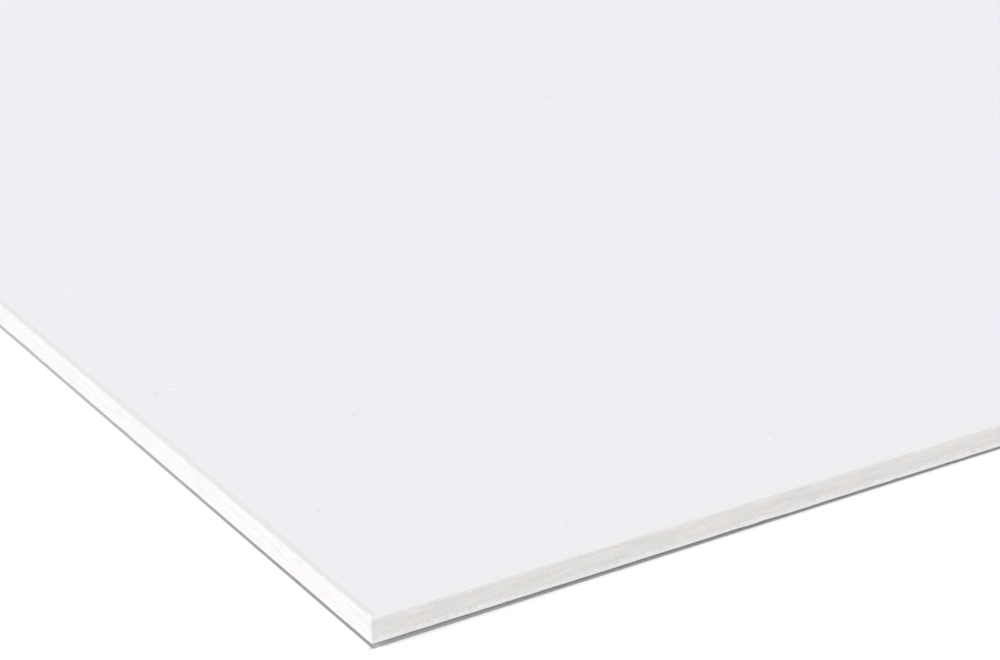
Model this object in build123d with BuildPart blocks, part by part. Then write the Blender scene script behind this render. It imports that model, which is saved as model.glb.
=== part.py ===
from build123d import *
import os

# A flat sheet of rigid foamed plastic, one piece, sawn square and lying on its lower skin.
# Millimetres. X runs along the sheet, Y across it and Z up, from the middle of the lower skin.

# Driving dimensions
sheet_length = 1220.0  # sawn end to sawn end, along X
sheet_width = 610.0  # sawn side to sawn side, along Y
sheet_thickness = 6.0  # skin to skin, along Z
arris_radius = 0.5  # the worn arris round both skins and down the four corners

# The sheet: its sawn outline on the floor, raised by its thickness
with BuildPart() as foam_board:
    with BuildSketch() as sawn_outline:
        Rectangle(sheet_length, sheet_width)
    extrude(amount=sheet_thickness)

    # Arrises: four corners run up through the thickness, and a ring of four lies round each skin
    corner_arrises = foam_board.edges().filter_by(Axis.Z)
    skin_arrises = foam_board.faces().filter_by(Axis.Z).edges()
    fillet(corner_arrises + skin_arrises, radius=arris_radius)

foam_board.part.label = "foam_board"

os.makedirs("parts", exist_ok=True)
export_step(foam_board.part, "parts/foam_board.step")
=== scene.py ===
import math

import bmesh
import bpy
import numpy as np
from mathutils import Matrix, Vector


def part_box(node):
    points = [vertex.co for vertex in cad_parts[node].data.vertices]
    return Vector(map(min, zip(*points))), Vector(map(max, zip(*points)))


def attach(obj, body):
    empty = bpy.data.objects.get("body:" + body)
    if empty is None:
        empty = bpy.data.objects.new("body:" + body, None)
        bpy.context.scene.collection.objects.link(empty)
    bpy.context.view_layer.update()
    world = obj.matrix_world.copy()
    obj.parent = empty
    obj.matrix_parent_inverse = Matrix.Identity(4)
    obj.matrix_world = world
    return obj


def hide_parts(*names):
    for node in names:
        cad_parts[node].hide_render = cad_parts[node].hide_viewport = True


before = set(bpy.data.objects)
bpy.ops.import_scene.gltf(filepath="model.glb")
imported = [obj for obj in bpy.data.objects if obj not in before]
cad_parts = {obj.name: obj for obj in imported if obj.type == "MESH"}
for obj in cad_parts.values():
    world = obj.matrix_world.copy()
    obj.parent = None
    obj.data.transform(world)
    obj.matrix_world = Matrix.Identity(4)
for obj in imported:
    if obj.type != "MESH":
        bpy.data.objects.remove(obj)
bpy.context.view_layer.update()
sheetLow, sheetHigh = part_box("foam_board")
print("frame: sheet of %.0f x %.0f x %.1f mm" % tuple(1000 * side for side in sheetHigh - sheetLow))


class Wire:  # one output socket; arithmetic on it adds Math nodes to the same tree
    def __init__(self, bench, socket):
        self.bench = bench
        self.socket = socket

    def calc(self, operation, *parts):
        return self.bench.add("ShaderNodeMath", {"operation": operation}, dict(enumerate(parts)))

    def __add__(self, other):
        return self.calc("ADD", self, other)

    def __sub__(self, other):
        return self.calc("SUBTRACT", self, other)

    def __rsub__(self, other):
        return self.calc("SUBTRACT", other, self)

    def __mul__(self, other):
        return self.calc("MULTIPLY", self, other)

    def __gt__(self, other):
        return self.calc("GREATER_THAN", self, other)

    def __lt__(self, other):
        return self.calc("LESS_THAN", self, other)

    def __or__(self, other):  # the larger of two values
        return self.calc("MAXIMUM", self, other)

    def __abs__(self):
        return self.calc("ABSOLUTE", self)

    def __neg__(self):
        return 0 - self

    __radd__ = __add__
    __rmul__ = __mul__


class Bench:  # a node tree, emptied, to which every node is added in one way
    def __init__(self, tree):
        self.tree = tree
        tree.nodes.clear()

    def add(self, kind, settings=None, sockets=None, out=0):
        node = self.tree.nodes.new(kind)
        for name, value in (settings or {}).items():
            setattr(node, name, value)
        for name, value in (sockets or {}).items():
            if isinstance(value, Wire):
                self.tree.links.new(value.socket, node.inputs[name])
            else:
                node.inputs[name].default_value = value
        if isinstance(out, tuple):
            return [Wire(self, node.outputs[name]) for name in out]
        return Wire(self, node.outputs[out]) if len(node.outputs) else node

    def stretch(self, vector, scale):  # scale each axis of a vector
        return self.add("ShaderNodeVectorMath", {"operation": "MULTIPLY"}, {0: vector, 1: scale})

    def shade(self, colour, level):  # a colour made lighter or darker by a varying level
        return self.add("ShaderNodeVectorMath", {"operation": "SCALE"}, {0: colour, "Scale": level})

    def noise(self, vector, size, detail=2.0):  # soft noise about zero, in blotches of this size in metres
        sockets = {"Vector": vector, "Scale": 1 / size, "Detail": detail}
        return self.add("ShaderNodeTexNoise", None, sockets) - 0.5

    def mixColour(self, factor, first, second):
        ends = [end if isinstance(end, Wire) else (*end, 1) for end in (first, second)]
        return self.add("ShaderNodeMix", {"data_type": "RGBA"}, {0: factor, 6: ends[0], 7: ends[1]}, out=2)

    def ramp(self, value, start, end, first=0.0, last=1.0):  # smoothly from first to last, and level beyond
        sockets = {"Value": value, "From Min": start, "From Max": end, "To Min": first, "To Max": last}
        return self.add("ShaderNodeMapRange", {"interpolation_type": "SMOOTHSTEP"}, sockets)


# The sheet's surface

sheetShape = {
    "gridPitch": 0.012,  # metres between the lines of each skin's grid
    "bandWidth": 0.012,  # the band of fans round that grid
    "rimSplit": 12,  # columns of the rim to one step of the grid
    "rimWidth": 0.010,  # how far the rim reaches in over each skin
    "rimSteps": 5,  # rows of the rim on each skin, crowded towards the arris
    "arrisRadius": 0.0005,  # worn arris, as on the solid
    "arrisSteps": 3,
    "cornerSteps": 4,
    "sawnSteps": 6,  # steps down the sawn face
    "wearShare": (0.25, 0.12),  # shares of the radius: how far it is worn past it, and how far that wanders
    "wearReach": 1.5,  # columns over which it wanders
    "knockDepth": 0.0002,  # a knocked place is rounder by about this
    "knockMark": 2.0,  # higher for fewer knocks
    "knockReach": 1.0,
    "sawDepth": 0.00003,  # depth of the shallow streaks that the saw leaves
    "sawReach": (9.0, 0.8),  # columns along and rows across
    "calmReach": 0.006,  # wear and knocks fade out this near to a corner
    "cornerWear": (0.0007, 0.0002),  # and there the upper and the lower arris are rounder by this
    "seed": 11,
    "mapSkin": 0.36,  # share of the baked picture's height for each skin
    "mapStrips": 6,  # the sawn edge is cut into this many strips above them
    "mapGap": 0.004,
}


def wander(rng, counts, reaches):
    # Smooth random numbers that close on themselves: white noise, blurred along each axis by a bell curve
    # of the given reach in steps, then scaled to unit spread.
    field = rng.normal(size=counts)
    for axis, reach in enumerate(reaches):
        bell = np.exp(-2 * (math.pi * reach * np.fft.fftfreq(counts[axis])) ** 2)
        bell = bell.reshape([-1 if other == axis else 1 for other in range(len(counts))])
        field = np.fft.ifft(np.fft.fft(field, axis=axis) * bell, axis=axis).real
    return field / field.std()


def outlineColumns(counts, cornerSteps):
    # Walks anticlockwise round the sheet. Every column has a point on the square from -1 to 1 and an
    # outward direction. Along a side the point moves; round a corner it stays while the direction turns.
    # The ring numbers one column for each point.
    cores, outwards, ring = [], [], []
    for side in range(4):
        count = counts[side % 2]
        heading = math.pi / 2 * side
        along = np.array([math.cos(heading), math.sin(heading)]).round()
        outward = np.array([along[1], -along[0]])
        turn = heading - math.pi / 2 + np.linspace(0, math.pi / 2, cornerSteps + 1)[1:-1]
        ring.append(sum(map(len, cores)) + np.arange(count))
        cores.append(np.linspace(-1, 1, count + 1)[:, None] * along + outward)
        cores.append(np.tile(along + outward, (cornerSteps - 1, 1)))
        outwards.append(np.tile(outward, (count + 1, 1)))
        outwards.append(np.stack([np.cos(turn), np.sin(turn)], axis=1))
    return np.concatenate(cores), np.concatenate(outwards), np.concatenate(ring)


def wornArris(shape, rng, calm, cornerWear):
    # The arris radius of every column: the set radius, some wear and a short wander, with knocks where a
    # second wander passes a mark, and more wear that grows with the square of nearness to a corner. Also
    # how hard each column is knocked.
    mean, spread = shape["wearShare"]
    wear = mean + spread * wander(rng, (len(calm),), (shape["wearReach"],))
    knock = (wander(rng, (len(calm),), (shape["knockReach"],)) - shape["knockMark"]).clip(0) * calm
    worn = shape["arrisRadius"] * (1 + wear.clip(0) * calm) + shape["knockDepth"] * knock
    worn = worn + cornerWear * (1 - calm) ** 2
    return worn[:, None], knock[:, None]


def halfSection(shape, radius):
    # From a skin down to the sawn face, for every column: inset from the face and drop below the skin. The
    # insets shrink with the cube of the step as far as the arris, then a quarter circle turns down.
    turn = np.linspace(0, math.pi / 2, shape["arrisSteps"] + 1)[1:]
    skin = radius + (shape["rimWidth"] - radius) * np.linspace(1, 0, shape["rimSteps"]) ** 3
    inset = np.concatenate([skin, radius * (1 - np.sin(turn))], axis=1)
    drop = np.concatenate([0 * skin, radius * (1 - np.cos(turn))], axis=1)
    return inset, drop


def makeRim(shape, rng, size, core, outward):
    # Every column runs over the upper arris, straight down the sawn face and under the lower arris. Calm is
    # its distance from the nearest corner as a share of the calm reach, up to 1.
    half = size[:2] / 2
    calm = np.clip(((1 - abs(core)) * half).max(axis=1) / shape["calmReach"], 0, 1)
    upperRadius, upperKnock = wornArris(shape, rng, calm, shape["cornerWear"][0])
    lowerRadius, lowerKnock = wornArris(shape, rng, calm, shape["cornerWear"][1])
    upperInset, upperDrop = halfSection(shape, upperRadius)
    lowerInset, lowerDrop = halfSection(shape, lowerRadius)
    share = np.linspace(0, 1, shape["sawnSteps"] + 1)[1:-1]
    face = (size[2] - upperRadius) * (1 - share) + lowerRadius * share
    inset = np.concatenate([upperInset, 0 * face, lowerInset[:, ::-1]], axis=1)
    height = np.concatenate([size[2] - upperDrop, face, lowerDrop[:, ::-1]], axis=1)

    # How far each row has turned from skin to sawn face, and which skin it belongs to
    turned = np.concatenate([np.zeros(shape["rimSteps"]), np.linspace(0, 1, shape["arrisSteps"] + 1)[1:]])
    sawn = np.concatenate([turned, 1 + 0 * share, turned[::-1]])
    side = np.concatenate([1 + 0 * turned, 0 * share, -1 - 0 * turned])

    # Plan: inside the corner radius the columns move straight out, or round the corner
    corner = shape["arrisRadius"]
    streak = shape["sawDepth"] * (1 + wander(rng, inset.shape, shape["sawReach"])).clip(0) * sawn
    push = (corner - inset).clip(0) - streak
    plan = core[:, None] * (half - inset.clip(corner)[..., None]) + outward[:, None] * push[..., None]

    # A knock shows most halfway round the arris, where this product of the turn and its rest is 1
    halfway = 4 * sawn * (1 - sawn)
    knocked = np.where(side > 0, upperKnock, lowerKnock) * halfway
    return np.concatenate([plan, height[..., None]], axis=2), sawn, knocked


def makeGrid(shape, size, counts, height):
    # One skin inside its rim and band: even steps along X and Y at one height.
    reach = size[:2] / 2 - shape["rimWidth"] - shape["bandWidth"]
    lines = [np.linspace(-end, end, count + 1) for end, count in zip(reach, counts)]
    return np.stack(np.meshgrid(*lines, [height], indexing="ij"), axis=-1)[:, :, 0]


def gridQuads(start, rows, columns, closed=False):
    # Four corner numbers for every cell of a grid whose points are numbered row by row from start.
    first = np.arange(rows if closed else rows - 1)[:, None]
    second = (first + 1) % rows
    step = np.arange(columns - 1)[None, :]
    corners = [first * columns + step, first * columns + step + 1]
    corners += [second * columns + step + 1, second * columns + step]
    return start + np.stack(corners, axis=-1).reshape(-1, 4)


def gridBorder(start, rows, columns):
    # The outer points of such a grid, anticlockwise from the first.
    numbers = start + np.arange(rows * columns).reshape(rows, columns)
    return np.concatenate([numbers[:-1, 0], numbers[-1, :-1], numbers[:0:-1, -1], numbers[0, :0:-1]])


def fanBand(fine, coarse, split):
    # Triangles between two rings: every fine step reaches to the nearer end of its coarse step, and one
    # more triangle closes the middle of each coarse step.
    nearer = (np.arange(len(fine)) + split // 2) // split % len(coarse)
    fans = np.stack([fine, np.roll(fine, -1), coarse[nearer]], axis=1)
    middles = np.stack([coarse, fine[split - split // 2 :: split], np.roll(coarse, -1)], axis=1)
    return np.concatenate([fans, middles])


def bakePlaces(shape, rim, points, faces):
    # Where every face corner lies on the baked picture. The skins keep their plan, the lower one turned
    # over and set above the upper one. The arrises and the sawn face go round in strips over both, and by
    # their own length across a strip, so that the narrow edge gets more pixels than its size would give it.
    corners = np.concatenate([part.ravel() for part in faces])
    plan = (points[:, :2] - points[:, :2].min(axis=0)) / np.ptp(points[:, :2], axis=0)
    below = points[corners, 2] < points[:, 2].mean()
    places = plan[corners]
    places[below, 0] = 1 - places[below, 0]
    places[:, 1] = places[:, 1] * shape["mapSkin"] + below * (shape["mapSkin"] + shape["mapGap"])

    columns, rows = rim.shape[:2]
    row = np.arange(rows - 1)
    isEdge = (row >= shape["rimSteps"] - 1) & (row < rows - shape["rimSteps"])
    lengths = np.linalg.norm(np.diff(rim, axis=1), axis=2).mean(axis=0) * isEdge
    down = np.append(0, np.cumsum(lengths)) / lengths.sum()
    perStrip = math.ceil(columns / shape["mapStrips"])
    strip, step = np.divmod(np.arange(columns)[:, None, None], perStrip)
    across = (step + np.array([0, 0, 1, 1])) / perStrip + 0 * row[None, :, None]
    stripBase = 2 * (shape["mapSkin"] + shape["mapGap"])
    stripHeight = (1 - stripBase) / shape["mapStrips"]
    up = (1 - down[row[None, :, None] + np.array([0, 1, 1, 0])]) * (stripHeight - shape["mapGap"])
    edge = np.stack([across, stripBase + strip * stripHeight + up], axis=-1)
    rimPlaces = places[: columns * (rows - 1) * 4].reshape(columns, rows - 1, 4, 2)
    rimPlaces[:, isEdge] = edge[:, isEdge]
    return places


def makeSheet(shape, low, high):
    # One closed surface: the rim, an even grid for each skin, and a band of fans from each grid to the rim.
    rng = np.random.default_rng(shape["seed"])
    size = np.array(high - low)
    counts = np.round(size[:2] / shape["gridPitch"]).astype(int)
    core, outward, ring = outlineColumns(counts * shape["rimSplit"], shape["cornerSteps"])
    rim, sawn, knocked = makeRim(shape, rng, size, core, outward)
    upper = makeGrid(shape, size, counts, size[2])
    lower = makeGrid(shape, size, counts, 0)

    columns, rows = rim.shape[:2]
    upperStart = columns * rows
    lowerStart = upperStart + upper.shape[0] * upper.shape[1]
    upperQuads = gridQuads(upperStart, *upper.shape[:2])[:, ::-1]
    lowerQuads = gridQuads(lowerStart, *lower.shape[:2])
    upperBorder = gridBorder(upperStart, *upper.shape[:2])
    lowerBorder = gridBorder(lowerStart, *lower.shape[:2])
    upperBand = fanBand(ring * rows, upperBorder, shape["rimSplit"])
    lowerBand = fanBand(ring * rows + rows - 1, lowerBorder, shape["rimSplit"])
    faces = [
        np.concatenate([gridQuads(0, columns, rows, closed=True), upperQuads, lowerQuads]),
        np.concatenate([upperBand, lowerBand[:, ::-1]]),
    ]

    points = np.concatenate([part.reshape(-1, 3) for part in (rim, upper, lower)])
    points += ((low.x + high.x) / 2, (low.y + high.y) / 2, low.z)
    skinPoints = np.zeros(len(points) - upperStart)
    marks = {
        "sawn": np.concatenate([np.tile(sawn, columns), skinPoints]),
        "knocked": np.concatenate([knocked.ravel(), skinPoints]),
    }
    return points, faces, marks, bakePlaces(shape, rim, points, faces)


def putMesh(name, points, faces, marks=None, places=None, weld=1e-6):
    mesh = bpy.data.meshes.new(name)
    mesh.vertices.add(len(points))
    mesh.vertices.foreach_set("co", points.astype(np.float32).ravel())
    corners = np.concatenate([part.ravel() for part in faces])
    sides = np.concatenate([np.full(len(part), part.shape[1]) for part in faces])
    mesh.loops.add(len(corners))
    mesh.loops.foreach_set("vertex_index", corners.astype(np.int32))
    mesh.polygons.add(len(sides))
    mesh.polygons.foreach_set("loop_start", (np.cumsum(sides) - sides).astype(np.int32))
    mesh.update(calc_edges=True)
    for label, values in (marks or {}).items():
        layer = mesh.attributes.new(label, "FLOAT", "POINT")
        layer.data.foreach_set("value", values.astype(np.float32))
    if places is not None:
        mesh.uv_layers.new(name="OFBake").uv.foreach_set("vector", places.astype(np.float32).ravel())
    body = bmesh.new()
    body.from_mesh(mesh)
    bmesh.ops.remove_doubles(body, verts=body.verts, dist=weld)  # where a corner's columns meet on a skin
    body.to_mesh(mesh)
    body.free()
    mesh.shade_smooth()
    piece = bpy.data.objects.new(name, mesh)
    bpy.context.scene.collection.objects.link(piece)
    return piece


foamSheet = putMesh("foam_sheet", *makeSheet(sheetShape, sheetLow, sheetHigh))
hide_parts("foam_board")
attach(foamSheet, "root")
print("sheet: %d points, %d faces" % (len(foamSheet.data.vertices), len(foamSheet.data.polygons)))


# The sheet's finish

skinLook = {
    "colour": (0.868, 0.8515, 0.8935),  # cool white of the skins
    "mottleSize": 0.06,
    "mottleShade": 0.012,
    "mottleRough": 0.08,
    "grainSize": 0.0007,
    "grainShade": 0.04,
    "grainDepth": 0.000004,
    "speckGap": 0.035,  # about how far apart the places for a speck lie
    "speckShare": (0.25, 0.2),  # share of them that hold a pale one, and a grey one
    "speckSize": 0.0006,
    "speckLeast": 0.5,  # the smallest speck's radius as a share of that size; the largest's is 1 more
    "speckSoftness": 0.4,
    "paleSpeck": (0.926, 0.916, 0.936),
    "greySpeck": (0.79, 0.78, 0.81),
    "cutPaleColour": (0.88, 0.868, 0.8735),  # along the cut the skin is paler and less blue
    "cutPaleReach": (0.0055, 0.0012),  # from the cut: where that begins, and where it is full
    "lipReach": (0.0025, 0.0004),  # and raised a hair: where it starts to rise, and where it is level again
    "lipHeight": 0.00028,
    "raggedSize": 0.004,  # both lines are ragged
    "raggedDetail": 4.0,
    "raggedReach": 0.0018,
    "roughness": 0.46,
}
edgeLook = {
    "warm": (0.862, 0.819, 0.806),  # where the cut is a little burnished
    "plain": (0.82, 0.819, 0.799),
    "freshAndHighlight": (0.97, 0.965, 0.96),  # knocked places; flecks along the arrises, partly painted glints; and a painted highlight along the lower arris
    "cutTurn": (0.3, 0.7),  # how far round the arris the cut begins to show, and where it is full
    "patchSize": 0.006,
    "patchSoftness": 0.12,
    "streakSize": 0.0009,
    "streakDetail": 3.0,
    "streakStretch": 0.09,  # below 1, streaks are longer along the edge than across it
    "streakShade": 0.26,
    "cellSize": 0.0004,
    "cellShade": 0.24,
    "cellDepth": 0.00002,
    "lowLitReach": (0.0016, 0.001),  # up from the lower skin: where the painted highlight begins, and where it is full
    "lowLitRagged": 0.0016,
    "lowLitFlecks": 2.0,  # that line follows the flecks this much more than the streaks
    "lowLitShare": (1.0, 0.15),  # along the sides, and across the ends
    "lowLitTurn": 0.001,  # within this of a corner the one goes over into the other
    "fleckSize": 0.0006,  # pale flecks along the arrises: torn foam, and painted glints where the arris catches the light
    "fleckStretch": 0.5,  # below 1, they are longer along the edge than across it
    "fleckMark": 0.06,  # higher for fewer flecks
    "fleckSoftness": 0.07,
    "fleckFade": (70.0, 160.0),  # how fast they thin out over the skin and down the cut, per metre
    "knockFull": 0.5,  # a place knocked this hard takes the pale colour in full
    "roughness": 0.8,
}


def specks(bench, place, look):
    # Scattered dots: the middles of a few cells of a flat Voronoi pattern, chosen by each cell's own colour.
    settings = {"voronoi_dimensions": "2D"}
    sockets = {"Vector": place, "Scale": 1 / look["speckGap"]}
    distance, tint = bench.add("ShaderNodeTexVoronoi", settings, sockets, out=("Distance", "Color"))
    chance, size = bench.add("ShaderNodeSeparateColor", None, {0: tint}, out=("Red", "Green"))
    unit = look["speckSize"] / look["speckGap"]
    dot = bench.ramp(distance - (look["speckLeast"] + size) * unit, 0, -look["speckSoftness"] * unit)
    pale, grey = look["speckShare"]
    return dot * (chance < pale), dot * (chance > 1 - grey)


def foamFinish(skin, edge, low, high):
    material = bpy.data.materials.new("white foam")
    material.use_nodes = True
    bench = Bench(material.node_tree)
    place = bench.add("ShaderNodeTexCoord", out="Object")
    acrossX, acrossY, height = bench.add("ShaderNodeSeparateXYZ", None, {0: place}, out=("X", "Y", "Z"))
    sawn = bench.add("ShaderNodeAttribute", {"attribute_name": "sawn"}, out="Fac")
    knocked = bench.add("ShaderNodeAttribute", {"attribute_name": "knocked"}, out="Fac")
    cut = bench.ramp(sawn, *edge["cutTurn"])

    # Depth from the nearer skin and from the nearest sawn face, and the two ragged lines beside the cut
    fromSkin = (high.z - low.z) / 2 - abs(height - (low.z + high.z) / 2)
    beyondX = abs(acrossX) - high.x
    beyondY = abs(acrossY) - high.y
    fromFace = -(beyondX | beyondY)
    ragged = bench.noise(place, skin["raggedSize"], skin["raggedDetail"])
    fromCut = fromFace + ragged * skin["raggedReach"]
    cutPale = bench.ramp(fromCut, *skin["cutPaleReach"])
    lip = bench.ramp(fromCut, *skin["lipReach"])

    # Skins
    mottle = bench.noise(place, skin["mottleSize"])
    grain = bench.noise(place, skin["grainSize"])
    pale, grey = specks(bench, place, skin)
    skinColour = bench.shade(skin["colour"], 1 + mottle * skin["mottleShade"] + grain * skin["grainShade"])
    skinColour = bench.mixColour(pale, skinColour, skin["paleSpeck"])
    skinColour = bench.mixColour(grey, skinColour, skin["greySpeck"])
    skinColour = bench.mixColour(cutPale, skinColour, skin["cutPaleColour"])

    # Sawn faces, with a painted highlight along the lower arris, full on the long sides and faint on the
    # ends
    alongCut = bench.stretch(place, (edge["streakStretch"], edge["streakStretch"], 1))
    alongFleck = bench.stretch(place, (edge["fleckStretch"], edge["fleckStretch"], 1))
    streak = bench.noise(alongCut, edge["streakSize"], edge["streakDetail"])
    fleckNoise = bench.noise(alongFleck, edge["fleckSize"])
    cells = bench.noise(place, edge["cellSize"])
    soft = edge["patchSoftness"]
    patch = bench.ramp(bench.noise(place, edge["patchSize"]), -soft, soft)
    aboveSkin = height - low.z + (streak + fleckNoise * edge["lowLitFlecks"]) * edge["lowLitRagged"]
    turn = edge["lowLitTurn"]
    # Painted highlight: a ragged band above the lower arris is paler in colour
    lowLitBand = bench.ramp(aboveSkin, *edge["lowLitReach"])
    lowLitBand = lowLitBand * bench.ramp(beyondX - beyondY, -turn, turn, *edge["lowLitShare"])
    edgeColour = bench.mixColour(patch, edge["warm"], edge["plain"])
    edgeColour = bench.shade(edgeColour, 1 + streak * edge["streakShade"] + cells * edge["cellShade"])
    edgeColour = bench.mixColour(lowLitBand, edgeColour, edge["freshAndHighlight"])

    # Pale flecks along the arrises, partly torn foam and partly painted glints, and knocked places
    fleckAndGlint = fleckNoise - fromFace * edge["fleckFade"][0] - fromSkin * edge["fleckFade"][1]
    fleckAndGlint = bench.ramp(fleckAndGlint, edge["fleckMark"], edge["fleckMark"] + edge["fleckSoftness"])
    fleckAndGlint = fleckAndGlint | bench.ramp(knocked, 0, edge["knockFull"])

    relief = grain * skin["grainDepth"] * (1 - cut) + cells * edge["cellDepth"] * cut
    relief = relief + lip * skin["lipHeight"]
    colour = bench.mixColour(cut, skinColour, edgeColour)
    rougher = edge["roughness"] - skin["roughness"]
    sockets = {
        "Base Color": bench.mixColour(fleckAndGlint, colour, edge["freshAndHighlight"]),
        "Roughness": skin["roughness"] + mottle * skin["mottleRough"] + cut * rougher,
        "Normal": bench.add("ShaderNodeBump", None, {"Strength": 1.0, "Distance": 1.0, "Height": relief}),
    }
    surface = bench.add("ShaderNodeBsdfPrincipled", None, sockets)
    bench.add("ShaderNodeOutputMaterial", None, {"Surface": surface})
    return material


foamSheet.data.materials.append(foamFinish(skinLook, edgeLook, sheetLow, sheetHigh))
print("finish: skins, specks and sawn edge")


# Studio: white floor with a painted shadow in the gap under the sheet, even sky and one soft key from the
# left

studio = {
    "gapLeft": (0.00052, 0.00072),  # floor's depth below the left edge: at the front corner, and far from it
    "gapRight": (0.00096, 0.00032),  # and below the right edge
    "gapReach": 0.11,
    "floorRings": 48,
    "floorSpokes": 64,
    "floorReach": (0.004, 40.0),  # radius of the first ring and the last
    "floorBounce": 0.95,  # how much light the floor throws back at the sheet
    "floorLift": 0.17,  # added where the floor is seen in the open, so that it reads as white paper
    "floorFade": 0.0003,  # how softly that ends at the sheet's outline
    "gapShadowLeft": (0.44, 0.68),  # painted shadow: shade of the floor seen in the left gap, from the front corner outwards
    "gapShadowRight": (0.64, 0.54),
    "gapShadowReach": (0.18, 0.085),  # how far along each edge it goes on changing
    "gapShadowTurn": 0.0015,  # within this of the corner's diagonal the one goes over into the other
    "gapShadowDeep": (0.0014, 1.4),  # this far in under the sheet the painted shadow is paler by this factor
    "skyLevel": 0.85,
    "keyLevel": 0.955,
    "keyTint": (0.942, 1.01, 1.06),  # a little cooler than the sky
    "keyHeading": 168.0,  # degrees anticlockwise from +X
    "keyHeight": 26.0,  # degrees above level
    "keySpread": 35.0,
}


def aim(heading, rise):  # the direction at these angles, in degrees anticlockwise from +X and above level
    heading, rise = math.radians(heading), math.radians(rise)
    return Vector((math.cos(rise) * math.cos(heading), math.cos(rise) * math.sin(heading), math.sin(rise)))


def seenRays(bench):  # 1 for rays that show the backdrop itself: seen, mirrored or through glass
    rays = ("Is Camera Ray", "Is Glossy Ray", "Is Transmission Ray")
    camera, glossy, through = bench.add("ShaderNodeLightPath", out=rays)
    return camera | glossy | through


def makeFloor(setting, low, high):
    # Rings about the sheet's front corner, each wider than the last by the same factor. Along each edge
    # the gap goes exponentially from its near value to its far one. The floor lies below the sheet by the
    # right gap times the squared cosine of the turn from the right edge, and the left gap times its squared
    # sine.
    turn = np.linspace(0, 2 * math.pi, setting["floorSpokes"], endpoint=False)[:, None]
    radius = np.append(0, np.geomspace(*setting["floorReach"], setting["floorRings"]))
    fade = np.exp(-radius / setting["gapReach"])
    ends = (setting["gapLeft"], setting["gapRight"])
    leftGap, rightGap = [far + (near - far) * fade for near, far in ends]
    depth = rightGap * np.cos(turn) ** 2 + leftGap * np.sin(turn) ** 2
    axes = (low.x + radius * np.cos(turn), low.y + radius * np.sin(turn), low.z - depth)
    points = np.stack(axes, axis=-1)
    floor = putMesh("floor", points.reshape(-1, 3), [gridQuads(0, *points.shape[:2], closed=True)])

    material = bpy.data.materials.new("white paper")
    material.use_nodes = True
    bench = Bench(material.node_tree)
    seen = seenRays(bench)
    place = bench.add("ShaderNodeTexCoord", out="Object")
    acrossX, acrossY = bench.add("ShaderNodeSeparateXYZ", None, {0: place}, out=("X", "Y"))
    beyondX = abs(acrossX) - high.x
    beyondY = abs(acrossY) - high.y
    beyond = beyondX | beyondY
    outside = bench.ramp(beyond, -setting["floorFade"], setting["floorFade"])
    # Painted shadow: inside the sheet's outline the floor is shown darker, over the real shade of the gap
    leftReach, rightReach = setting["gapShadowReach"]
    left = bench.ramp(acrossY, low.y, low.y + leftReach, *setting["gapShadowLeft"])
    right = bench.ramp(acrossX, low.x, low.x + rightReach, *setting["gapShadowRight"])
    onLeft = bench.ramp(beyondX - beyondY, -setting["gapShadowTurn"], setting["gapShadowTurn"])
    deep, paler = setting["gapShadowDeep"]
    gapShadow = (left * onLeft + right * (1 - onLeft)) * bench.ramp(beyond, -deep, 0, paler, 1)
    shown = bench.mixColour(outside, gapShadow, (1, 1, 1))
    paper = bench.mixColour(seen, [setting["floorBounce"]] * 3, shown)
    matt = bench.add("ShaderNodeBsdfDiffuse", None, {"Color": paper})
    glow = bench.shade((1, 1, 1), seen * outside)
    lift = bench.add("ShaderNodeEmission", None, {"Color": glow, "Strength": setting["floorLift"]})
    both = bench.add("ShaderNodeAddShader", None, {0: matt, 1: lift})
    bench.add("ShaderNodeOutputMaterial", None, {"Surface": both})
    floor.data.materials.append(material)


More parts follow.
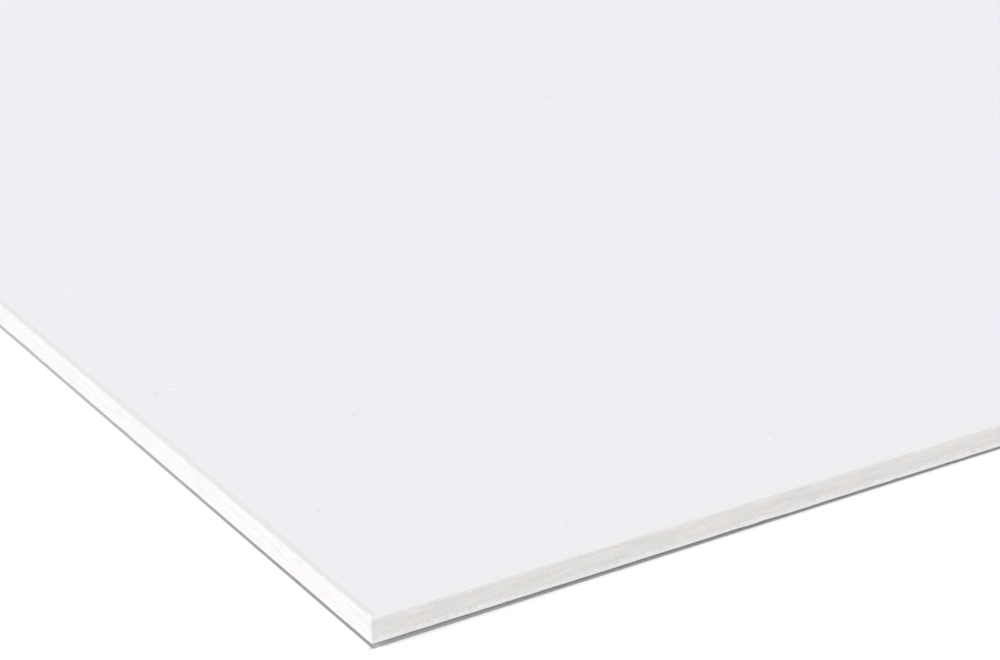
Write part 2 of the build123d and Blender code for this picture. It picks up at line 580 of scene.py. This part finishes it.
def makeSky(setting):
    world = bpy.data.worlds.new("even sky")
    bpy.context.scene.world = world
    world.use_nodes = True
    bench = Bench(world.node_tree)
    seen = seenRays(bench)
    white = (1, 1, 1, 1)
    light = bench.add("ShaderNodeBackground", None, {"Color": white, "Strength": setting["skyLevel"]})
    backdrop = bench.add("ShaderNodeBackground", None, {"Color": white, "Strength": 1.0})
    both = bench.add("ShaderNodeMixShader", None, {0: seen, 1: light, 2: backdrop})
    bench.add("ShaderNodeOutputWorld", None, {"Surface": both})


def makeKey(setting):
    lamp = bpy.data.lights.new("soft key", "SUN")
    lamp.energy = setting["keyLevel"]
    lamp.color = setting["keyTint"]
    lamp.angle = math.radians(setting["keySpread"])
    key = bpy.data.objects.new("soft key", lamp)
    towards = aim(setting["keyHeading"], setting["keyHeight"])
    key.rotation_euler = towards.to_track_quat("Z", "Y").to_euler()
    key.visible_glossy = False  # the skins mirror the white room and not the lamp, so no side glares
    bpy.context.scene.collection.objects.link(key)


makeFloor(studio, sheetLow, sheetHigh)
makeSky(studio)
makeKey(studio)
bpy.context.scene.view_settings.view_transform = "Standard"
print("studio: floor, sky and key")


# Camera: looks across the sheet's front left corner, which it keeps at a set pixel of the picture

cameraView = {
    "frame": (1000, 660),
    "lens": 90.0,
    "heading": 57.46,  # degrees anticlockwise from +X
    "pitch": 23.16,  # degrees below level
    "cornerPixel": (370.7, 620.2),
    "cornerDepth": 0.5107,  # metres along the line of sight
}


def makeCamera(setting, corner):
    data = bpy.data.cameras.new("camera")
    data.lens = setting["lens"]
    wide, high = setting["frame"]
    ahead = aim(setting["heading"], -setting["pitch"])
    right = ahead.cross(Vector((0, 0, 1))).normalized()
    up = right.cross(ahead)
    pixel = data.sensor_width / data.lens / wide  # a pixel's width at unit depth
    across = (setting["cornerPixel"][0] - wide / 2) * pixel
    above = (high / 2 - setting["cornerPixel"][1]) * pixel
    place = corner - setting["cornerDepth"] * (ahead + across * right + above * up)
    camera = bpy.data.objects.new("camera", data)
    turn = Matrix((right, up, -ahead)).transposed()
    camera.matrix_world = Matrix.Translation(place) @ turn.to_4x4()
    bpy.context.scene.collection.objects.link(camera)
    bpy.context.scene.camera = camera


makeCamera(cameraView, Vector((sheetLow.x, sheetLow.y, sheetHigh.z)))
print("camera: corner framed")
